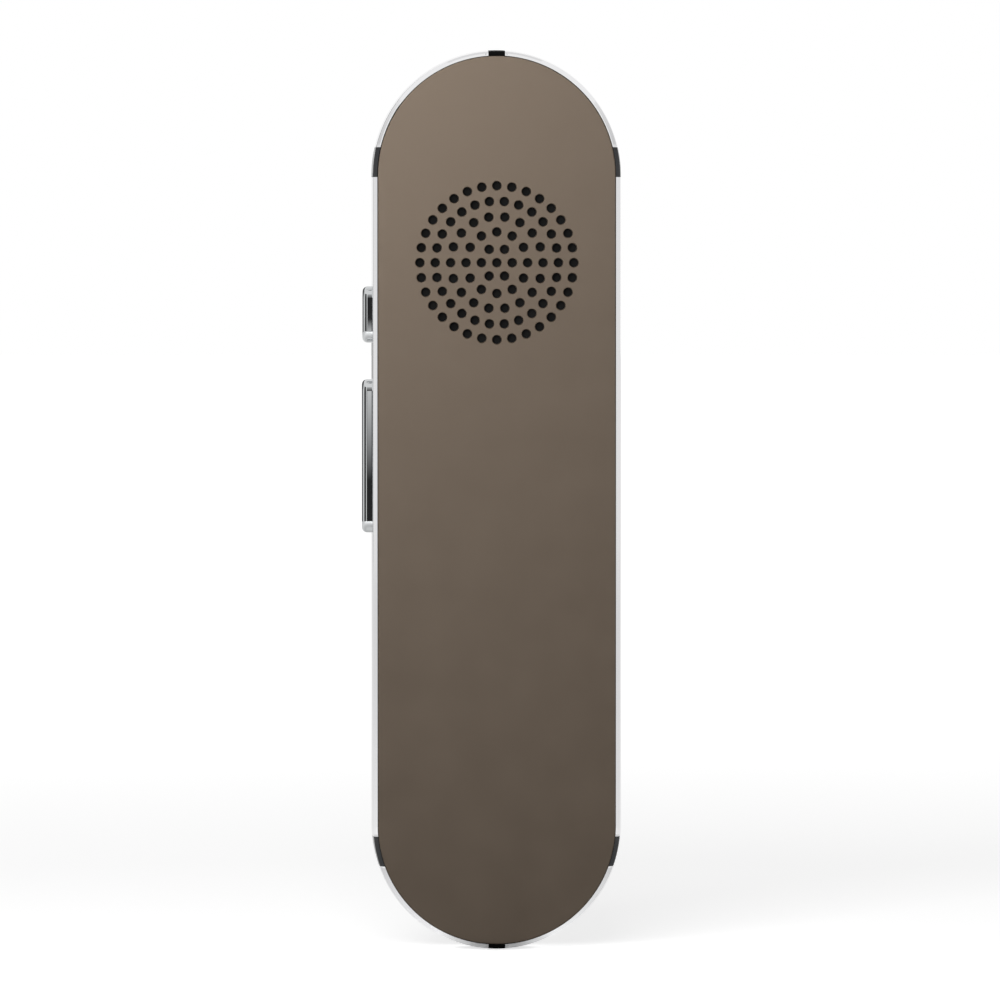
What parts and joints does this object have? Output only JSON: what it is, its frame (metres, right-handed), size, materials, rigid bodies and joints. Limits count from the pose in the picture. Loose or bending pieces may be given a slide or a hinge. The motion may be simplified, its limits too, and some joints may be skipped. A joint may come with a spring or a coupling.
{
  "type": "handheld voice translator",
  "caption": "Slim pill-shaped voice translator: split metal band, drilled back cover over a speaker, side keys, front talk keys, charging socket in the lower end.",
  "frame": {"origin": "middle of the back cover's outer face", "axes": "+Z along the length to the speaker end, +Y from the back cover to the front cover, +X to the right as the back cover is seen"},
  "size_m": [0.0394, 0.0122, 0.1368],
  "materials": {
    "anodised_cover": "satin anodised, taupe",
    "black_glass": "high gloss, black",
    "polished_band": "polished",
    "dark_insert": "glossy, dark",
    "chromed_key": "bright chrome",
    "talk_key_plastic": "satin, black",
    "black_moulding": "moulded, fine grain",
    "adhesive": "foam tape",
    "black_foam": "open foam",
    "acoustic_mesh": "woven, black",
    "stainless": "rolled",
    "tinned_steel": "tin plated",
    "magnet_alloy": "nickel plated",
    "copper_wire": "enamelled",
    "gold_contact": "gold plated",
    "cone_film": "pressed film",
    "circuit_board": "solder mask over glass laminate",
    "chip_resin": "moulded epoxy",
    "polyimide_film": "printed film",
    "seal_rubber": "moulded",
    "ivory_nylon": "moulded",
    "clear_pipe": "clear, polished",
    "battery_pouch": "laminated foil",
    "red_sleeve": "extruded"
  },
  "bodies": {
    "housing": {"back_cover": "anodised_cover", "front_cover": "black_glass", "left_rail": "polished_band", "right_rail": "polished_band", "upper_left_band": "polished_band", "upper_right_band": "polished_band", "lower_left_band": "polished_band", "lower_right_band": "polished_band", "upper_left_insert": "dark_insert", "upper_right_insert": "dark_insert", "lower_left_insert": "dark_insert", "lower_right_insert": "dark_insert", "top_insert": "black_moulding", "socket_insert": "black_moulding", "mid_frame": "black_moulding", "back_adhesive": "adhesive", "front_adhesive": "adhesive", "rocker_pin": "stainless", "side_key_bracket": "stainless", "side_key_flex": "polyimide_film", "power_dome": "stainless", "volume_domes": "stainless", "talk_key_trim": "chromed_key", "upper_talk_dome": "stainless", "lower_talk_dome": "stainless", "speaker_mesh": "acoustic_mesh", "speaker_gasket": "black_foam", "speaker_cone": "cone_film", "voice_coil": "copper_wire", "speaker_basket": "black_moulding", "pole_plate": "tinned_steel", "speaker_magnet": "magnet_alloy", "speaker_yoke": "tinned_steel", "speaker_springs": "gold_contact", "main_board": "circuit_board", "board_screws": "tinned_steel", "shield_can": "tinned_steel", "chips": "chip_resin", "charging_socket": "tinned_steel", "socket_tongue": "chip_resin", "microphones": "gold_contact", "microphone_boots": "seal_rubber", "status_led": "ivory_nylon", "light_pipe": "clear_pipe", "antenna_flex": "polyimide_film", "battery": "battery_pouch", "battery_tape": "adhesive", "battery_foam": "black_foam", "battery_board": "circuit_board", "battery_leads": "red_sleeve", "battery_connector": "ivory_nylon"},
    "power_key": {"power_key": "chromed_key"},
    "volume_rocker": {"volume_rocker": "chromed_key"},
    "upper_talk_key": {"upper_talk_key": "talk_key_plastic"},
    "lower_talk_key": {"lower_talk_key": "talk_key_plastic"}
  },
  "joints": [
    {"name": "power_press", "type": "slide", "parent": "housing", "child": "power_key", "axis": [1, 0, 0], "range_m": [0, 0.0003], "stiffness_N_per_m": 3000, "springref_m": -0.0003, "deforming": ["power_dome"]},
    {"name": "volume_tilt", "type": "hinge", "parent": "housing", "child": "volume_rocker", "pos_m": [-0.0163, 0.006, 0.0066], "axis": [0, 1, 0], "range_deg": [-1.9, 1.9], "stiffness_Nm_per_rad": 0.4, "deforming": ["volume_domes"]},
    {"name": "upper_talk_press", "type": "slide", "parent": "housing", "child": "upper_talk_key", "axis": [0, -1, 0], "range_m": [0, 0.0003], "stiffness_N_per_m": 3000, "springref_m": -0.0003, "deforming": ["upper_talk_dome"]},
    {"name": "lower_talk_press", "type": "slide", "parent": "housing", "child": "lower_talk_key", "axis": [0, -1, 0], "range_m": [0, 0.0003], "stiffness_N_per_m": 3000, "springref_m": -0.0003, "deforming": ["lower_talk_dome"]}
  ]
}
